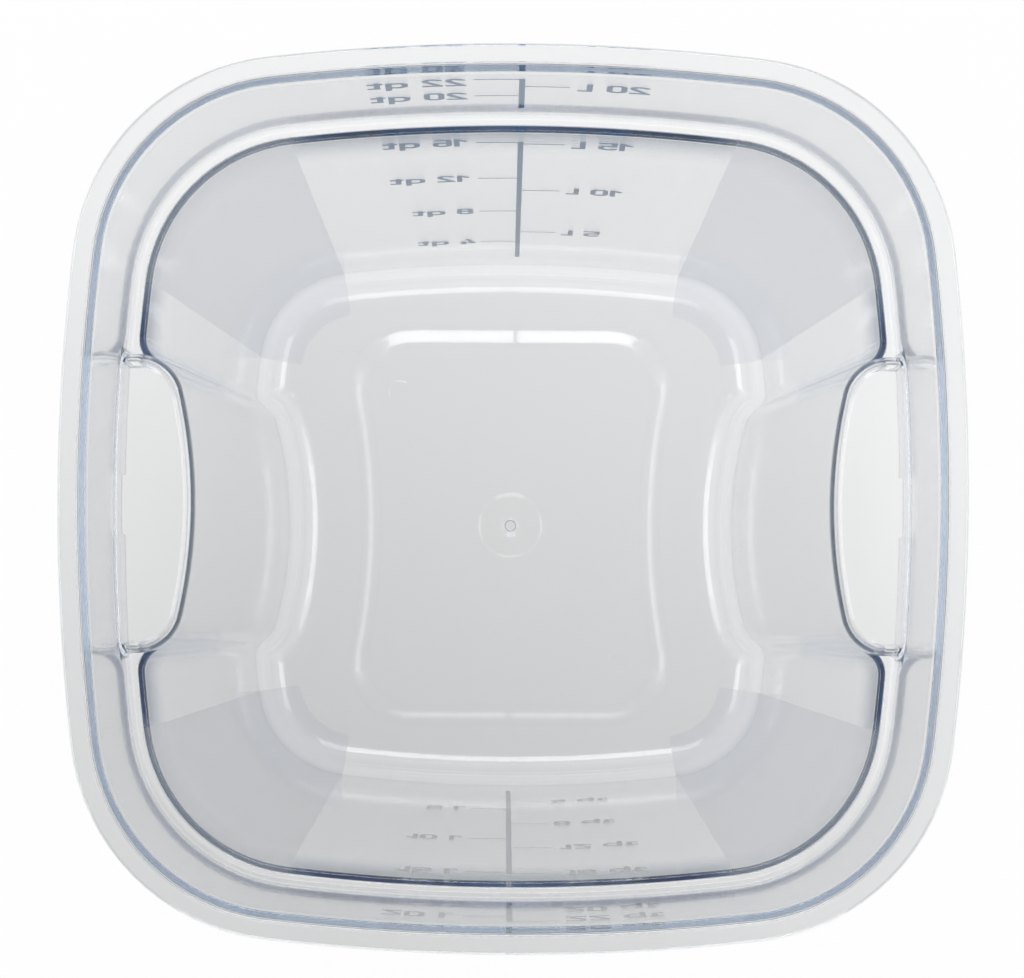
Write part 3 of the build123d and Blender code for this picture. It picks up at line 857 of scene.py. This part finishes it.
def grow(name, mesh, tree, values):
    """Run a tree on a mesh with its named inputs set, and return the result as a plain object."""
    seed = bpy.data.objects.new(name + "_seed", mesh)
    bpy.context.scene.collection.objects.link(seed)
    modifier = seed.modifiers.new("grow", "NODES")
    modifier.node_group = tree
    for item in tree.interface.items_tree:
        if item.item_type == "SOCKET" and item.in_out == "INPUT" and item.name in values:
            modifier[item.identifier] = values[item.name]
    evaluated = seed.evaluated_get(bpy.context.evaluated_depsgraph_get())
    grown = bpy.data.meshes.new_from_object(evaluated)
    grown.name = name
    seed.modifiers.remove(modifier)
    bpy.data.objects.remove(seed)
    piece = bpy.data.objects.new(name, grown)
    bpy.context.scene.collection.objects.link(piece)
    return piece


# Materials


def new_material(name):
    """Material and its empty node tree."""
    material = bpy.data.materials.new(name)
    material.use_nodes = True
    material.node_tree.nodes.clear()
    return material, material.node_tree


def find_material(name):
    """A material that an earlier operator made."""
    material = bpy.data.materials.get(name)
    if material is None:
        raise RuntimeError(f"the material {name} isn't made yet")
    return material


def insert_marks(tree, place, crown, mark_height):
    """Height of the mould's witness marks, which stand a little above the inside of the floor."""
    upward = add_node(tree, "ShaderNodeSeparateXYZ", inputs={"Vector": place}).outputs["Z"]
    inside = maths(tree, "COMPARE", upward, crown, MARK_REACH)
    total = None
    for middle, half_size, radius, slope in INSERT_MARKS:
        away = vector_maths(tree, "SUBTRACT", place, middle)
        flat = vector_maths(tree, "MULTIPLY", away, (1.0, 1.0, 0.0))
        past = vector_maths(tree, "SUBTRACT", vector_maths(tree, "ABSOLUTE", flat), half_size)
        past = vector_maths(tree, "MAXIMUM", past, (0.0, 0.0, 0.0))
        reach = vector_maths(tree, "LENGTH", past)
        mark = ranged(tree, reach, (radius - slope, radius), (mark_height, 0.0), "SMOOTHSTEP")
        total = mark if total is None else maths(tree, "ADD", total, mark)
    return maths(tree, "MULTIPLY", total, inside)


def moulded_polycarbonate(finish, crown, mark_height):
    """Moulded polycarbonate: water clear head on, slate blue where the eye looks along it.

    The mould's polish leaves the faces glossy with a very slight haze, and the corners of the lower
    wall keep the mould's fine texture, which greys them.
    """
    material, tree = new_material("moulded_polycarbonate")
    place = add_node(tree, "ShaderNodeTexCoord").outputs["Object"]
    grain = add_node(tree, "ShaderNodeAttribute", {"attribute_name": "fine_grain"}).outputs["Fac"]
    finishes = finish.gloss_roughness, finish.grain_roughness
    height = insert_marks(tree, place, crown, mark_height)
    inputs = {"Height": height, "Distance": 1.0, "Strength": 1.0}
    marked = add_node(tree, "ShaderNodeBump", inputs=inputs)
    surface = add_node(
        tree,
        "ShaderNodeBsdfPrincipled",
        inputs={
            "Base Color": mixed_tint(tree, grain, PLAIN_WHITE, finish.grain_tint),
            "Roughness": ranged(tree, grain, (0.0, 1.0), finishes),
            "IOR": finish.refraction,
            "Transmission Weight": 1.0,
            "Normal": marked.outputs["Normal"],
        },
    ).outputs["BSDF"]
    inputs = {"Color": finish.tint, "Density": finish.density}
    inside = add_node(tree, "ShaderNodeVolumeAbsorption", inputs=inputs).outputs["Volume"]
    add_node(tree, "ShaderNodeOutputMaterial", inputs={"Surface": surface, "Volume": inside})
    return material


def screen_ink(name, ink_tint):
    """Screen-printed epoxy ink: an even film with a faint weave of pinholes."""
    material, tree = new_material(name)
    place = add_node(tree, "ShaderNodeTexCoord").outputs["Object"]
    inputs = {"Vector": place, "Scale": WEAVE_SCALE, "Detail": 3.0}
    weave = add_node(tree, "ShaderNodeTexNoise", inputs=inputs).outputs["Fac"]
    shade = mixed_tint(tree, weave, ink_tint, [WEAVE_SHADE * c for c in ink_tint])
    inputs = {"Base Color": shade, "Roughness": INK_ROUGHNESS}
    surface = add_node(tree, "ShaderNodeBsdfPrincipled", inputs=inputs).outputs["BSDF"]
    add_node(tree, "ShaderNodeOutputMaterial", inputs={"Surface": surface})
    return material


def white_sweep(stage):
    """White paper sweep: lit like any floor, and near plain white to the camera and in plastic.

    The white in the plastic is painted light: it falls off away from the rear and the right, and
    far from the tub, in place of the soft boxes' light falling off across the sweep.
    """
    material, tree = new_material("white_paper_sweep")
    path = add_node(tree, "ShaderNodeLightPath").outputs
    seen = maths(tree, "MAXIMUM", path["Is Glossy Ray"], path["Is Transmission Ray"])
    seen = maths(tree, "MULTIPLY", seen, stage.glass_white)
    direct = maths(tree, "MULTIPLY", path["Is Camera Ray"], stage.camera_white)
    white = maths(tree, "MAXIMUM", seen, direct)
    paper = add_node(tree, "ShaderNodeBsdfDiffuse", inputs={"Color": stage.floor_tint})
    place = add_node(tree, "ShaderNodeTexCoord").outputs["Object"]
    # Painted light: the white seen in the plastic slopes up towards the rear and the right and
    # fades far from the tub, in place of the soft boxes' fall-off
    gains = stage.right_painted_light_gain, stage.rear_painted_light_gain, 0.0
    painted_slant = vector_maths(tree, "DOT_PRODUCT", place, gains)
    painted_slant = maths(tree, "MAXIMUM", maths(tree, "ADD", painted_slant, MIDDLE_PAINTED_LIGHT), LEAST_PAINTED_LIGHT)
    painted_slant = maths(tree, "MINIMUM", painted_slant, 1.0)
    away = vector_maths(tree, "LENGTH", place)
    lit = ranged(tree, away, PAINTED_LIGHT_FADE_DISTANCES, (1.0, FAR_PAINTED_LIGHT), "SMOOTHSTEP")
    fall = maths(tree, "MULTIPLY", painted_slant, lit)
    strength = ranged(tree, path["Is Camera Ray"], (0.0, 1.0), (fall, 1.0))
    glow = add_node(tree, "ShaderNodeEmission", inputs={"Color": PLAIN_WHITE, "Strength": strength})
    inputs = {"Fac": white, 1: paper.outputs["BSDF"], 2: glow.outputs["Emission"]}
    mixed = add_node(tree, "ShaderNodeMixShader", inputs=inputs).outputs["Shader"]
    add_node(tree, "ShaderNodeOutputMaterial", inputs={"Surface": mixed})
    return material


def white_tent(stage):
    """World that lights like a white tent in a darker room, and is plain white to the camera."""
    world = bpy.data.worlds.new("white_tent")
    world.use_nodes = True
    tree = world.node_tree
    tree.nodes.clear()
    seen = add_node(tree, "ShaderNodeLightPath").outputs["Is Camera Ray"]
    toward = add_node(tree, "ShaderNodeTexCoord").outputs["Generated"]
    upward = add_node(tree, "ShaderNodeSeparateXYZ", inputs={"Vector": toward}).outputs["Z"]
    strengths = stage.side_strength, stage.top_strength
    tent = ranged(tree, upward, SIDE_TO_TOP, strengths, "SMOOTHSTEP")
    room = ranged(tree, upward, ROOM_TO_TENT, (stage.room_share, 1.0), "SMOOTHSTEP")
    light = maths(tree, "MULTIPLY", tent, room)
    strength = ranged(tree, seen, (0.0, 1.0), (light, 1.0))
    inputs = {"Color": PLAIN_WHITE, "Strength": strength}
    sky = add_node(tree, "ShaderNodeBackground", inputs=inputs).outputs["Background"]
    add_node(tree, "ShaderNodeOutputWorld", inputs={"Surface": sky})
    return world


# Operators


class TUB_OT_materials(bpy.types.Operator):
    """Make the plastic and the ink."""

    bl_idname = "dough_tub.materials"
    bl_label = "Make Materials"

    def execute(self, context):
        scene = context.scene
        panel = scene.floor_panel
        crown = scene.tub_walls.floor_thickness + panel.rise
        moulded_polycarbonate(scene.clear_plastic, crown, panel.mark_height)
        screen_ink("screen_printed_ink", scene.scale_print.ink_tint)
        # This copy of the ink is painted paler, for how the front print is seen through the wall
        screen_ink("screen_printed_ink_painted_pale", scene.scale_print.front_ink_painted_pale_tint)
        return {"FINISHED"}


class TUB_OT_tub(bpy.types.Operator):
    """Make the one moulding in place of its plain solid."""

    bl_idname = "dough_tub.tub"
    bl_label = "Make Tub"

    def execute(self, context):
        scene = context.scene
        form = TubForm(scene.tub_walls, scene.hand_pocket, scene.floor_panel, scene.scale_print)
        quarter = QuarterMesh()
        mouth = inner_surface(form, quarter)
        edge = rim_and_band(form, quarter, mouth)
        lower_shell(form, quarter, finger_space(form, quarter, edge))
        plastic = find_material("moulded_polycarbonate")
        values = {"Merge Distance": MERGE_DISTANCE, "Plastic": plastic}
        tub = grow("moulded_tub", quarter.to_mesh("tub_quarter"), quarter_tree(), values)
        finish_mesh(tub.data)
        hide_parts("tub")
        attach(tub, "root")
        return {"FINISHED"}


class TUB_OT_print(bpy.types.Operator):
    """Print the ticks, and ink the bars, numerals and letters."""

    bl_idname = "dough_tub.print"
    bl_label = "Make Print"

    def execute(self, context):
        scene = context.scene
        scale = scene.scale_print
        form = TubForm(scene.tub_walls, scene.hand_pocket, scene.floor_panel, scale)
        inks = {
            "rear": find_material("screen_printed_ink"),
            # The front print takes the copy of the ink that is painted paler
            "front": find_material("screen_printed_ink_painted_pale"),
        }
        tree = tick_tree()
        sides = ("rear", 1, scale.rear_shift), ("front", -1, scale.front_shift)
        for side, outward, shift in sides:
            # Seen from outside, quarts are to the right of the bar and litres to its left
            for unit, shares, hand in (("quart", QUART_TICKS, 1), ("litre", LITRE_TICKS, -1)):
                across = hand * (scale.bar_width + scale.tick_length) / 2 - shift
                spots = tick_spots(form, shares, -outward * across, outward, scale.ink)
                mesh = bpy.data.meshes.new("tick_spots")
                mesh.from_pydata(spots, [], [])
                values = {
                    "Tick Length": scale.tick_length,
                    "Tick Width": scale.tick_width,
                    "Ink Thickness": scale.ink,
                    "Bow Radius": form.wall_radius(form.lower_half_at_ledge + form.walls.wall),
                    "Outward": float(outward),
                    "Ink": inks[side],
                }
                ticks = grow(f"{side}_{unit}_tick_print", mesh, tree, values)
                finish_mesh(ticks.data)
                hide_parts(f"{side}_{unit}_ticks")
                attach(ticks, "root")
        for name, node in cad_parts.items():
            if name != "tub" and not name.endswith("ticks"):
                ink = inks[name.split("_")[0]]
                if not node.material_slots:
                    node.data.materials.append(ink)
                for material_slot in node.material_slots:
                    material_slot.material = ink
        return {"FINISHED"}


def tick_spots(form, shares, across, outward, ink):
    """Middle of each tick, in the ink film on the wall that faces outward."""
    walls = form.walls
    foot = form.underside_level + walls.flat_rise + walls.wall
    head = walls.height - walls.flange_thickness - walls.flat_rise - walls.flange_root_round
    spots = []
    for share in shares["upper"]:
        level = between(share, 0, 1, form.ledge_level, walls.height)
        half = between(level, foot, head, form.band_half_at_ledge, form.half_at_rim) + walls.wall
        spots.append((across, outward * (half + ink / 2), level))
    for share in shares["lower"]:
        level = between(share, 0, 1, walls.floor_thickness, form.underside_level)
        half = form.lower_outer_half(level) - form.bond
        spots.append((across, outward * (half + ink / 2), level))
    return spots


class TUB_OT_stage(bpy.types.Operator):
    """Set up the floor, the light and the camera."""

    bl_idname = "dough_tub.stage"
    bl_label = "Make Stage"

    def execute(self, context):
        scene = context.scene
        stage = scene.tub_stage
        width, drop = stage.floor_half_width, -stage.floor_drop
        corners = ((-width, -width), (width, -width), (width, width), (-width, width))
        mesh = bpy.data.meshes.new("sweep")
        mesh.from_pydata([(x, y, drop) for x, y in corners], [], [(0, 1, 2, 3)])
        mesh.materials.append(white_sweep(stage))
        floor = bpy.data.objects.new("sweep", mesh)
        scene.collection.objects.link(floor)
        scene.world = white_tent(stage)
        for name, azimuth, elevation, share in SOFT_BOXES:
            lamp_data = bpy.data.lights.new(name, "AREA")
            lamp_data.shape = "RECTANGLE"
            lamp_data.size = stage.lamp_width
            lamp_data.size_y = stage.lamp_depth
            lamp_data.energy = stage.lamp_power * share
            lamp = bpy.data.objects.new(name, lamp_data)
            out = stage.lamp_distance * cos(elevation)
            up = stage.lamp_distance * sin(elevation)
            lamp.location = (out * sin(azimuth), out * cos(azimuth), up)
            lamp.rotation_euler = (elevation - pi / 2, 0, -azimuth)
            scene.collection.objects.link(lamp)

        camera_data = bpy.data.cameras.new("photo_camera")
        camera_data.lens = stage.lens
        camera_data.sensor_width = SENSOR_WIDTH
        camera_data.shift_x = stage.shift_x
        camera_data.shift_y = stage.shift_y
        camera_data.clip_start = NEAREST_SEEN
        camera = bpy.data.objects.new("photo_camera", camera_data)
        camera.location = stage.camera_place
        camera.rotation_euler = (0, 0, stage.camera_turn)
        scene.collection.objects.link(camera)
        scene.camera = camera
        scene.view_settings.view_transform = "Standard"
        # Light trapped in the walls is reflected many times before it comes out of an edge
        for kind in ("max", "glossy", "transmission"):
            setattr(scene.cycles, kind + "_bounces", MOST_BOUNCES)
        return {"FINISHED"}


class TUB_PT_panel(bpy.types.Panel):
    """Lists what can be made and its sizes."""

    bl_idname = "TUB_PT_panel"
    bl_label = "Dough Tub"
    bl_space_type = "VIEW_3D"
    bl_region_type = "UI"
    bl_category = "Dough Tub"

    def draw(self, context):
        layout = self.layout
        for operator in OPERATORS:
            layout.operator(operator.bl_idname)
        for group_name, _, label in GROUPS:
            box = layout.box()
            box.label(text=label)
            group = getattr(context.scene, group_name)
            for prop in group.bl_rna.properties:
                if prop.identifier not in ("rna_type", "name"):
                    box.prop(group, prop.identifier)


GROUPS = (
    ("tub_walls", TubWallSizes, "Walls"),
    ("hand_pocket", HandPocketSizes, "Hand Pockets"),
    ("floor_panel", FloorPanelSizes, "Floor Panel"),
    ("scale_print", ScalePrintSizes, "Printed Scales"),
    ("clear_plastic", ClearPlasticFinish, "Clear Plastic"),
    ("tub_stage", StageSettings, "Stage"),
)
OPERATORS = (TUB_OT_stage, TUB_OT_materials, TUB_OT_tub, TUB_OT_print)


def register():
    for group_name, group_class, _ in GROUPS:
        bpy.utils.register_class(group_class)
        setattr(bpy.types.Scene, group_name, PointerProperty(type=group_class))
    for operator in OPERATORS:
        bpy.utils.register_class(operator)
    bpy.utils.register_class(TUB_PT_panel)


def unregister():
    bpy.utils.unregister_class(TUB_PT_panel)
    for operator in reversed(OPERATORS):
        bpy.utils.unregister_class(operator)
    for group_name, group_class, _ in reversed(GROUPS):
        delattr(bpy.types.Scene, group_name)
        bpy.utils.unregister_class(group_class)


def main():
    """Register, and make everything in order."""
    register()
    bpy.ops.dough_tub.stage()
    bpy.ops.dough_tub.materials()
    bpy.ops.dough_tub.tub()
    bpy.ops.dough_tub.print()


if __name__ == "__main__":
    main()
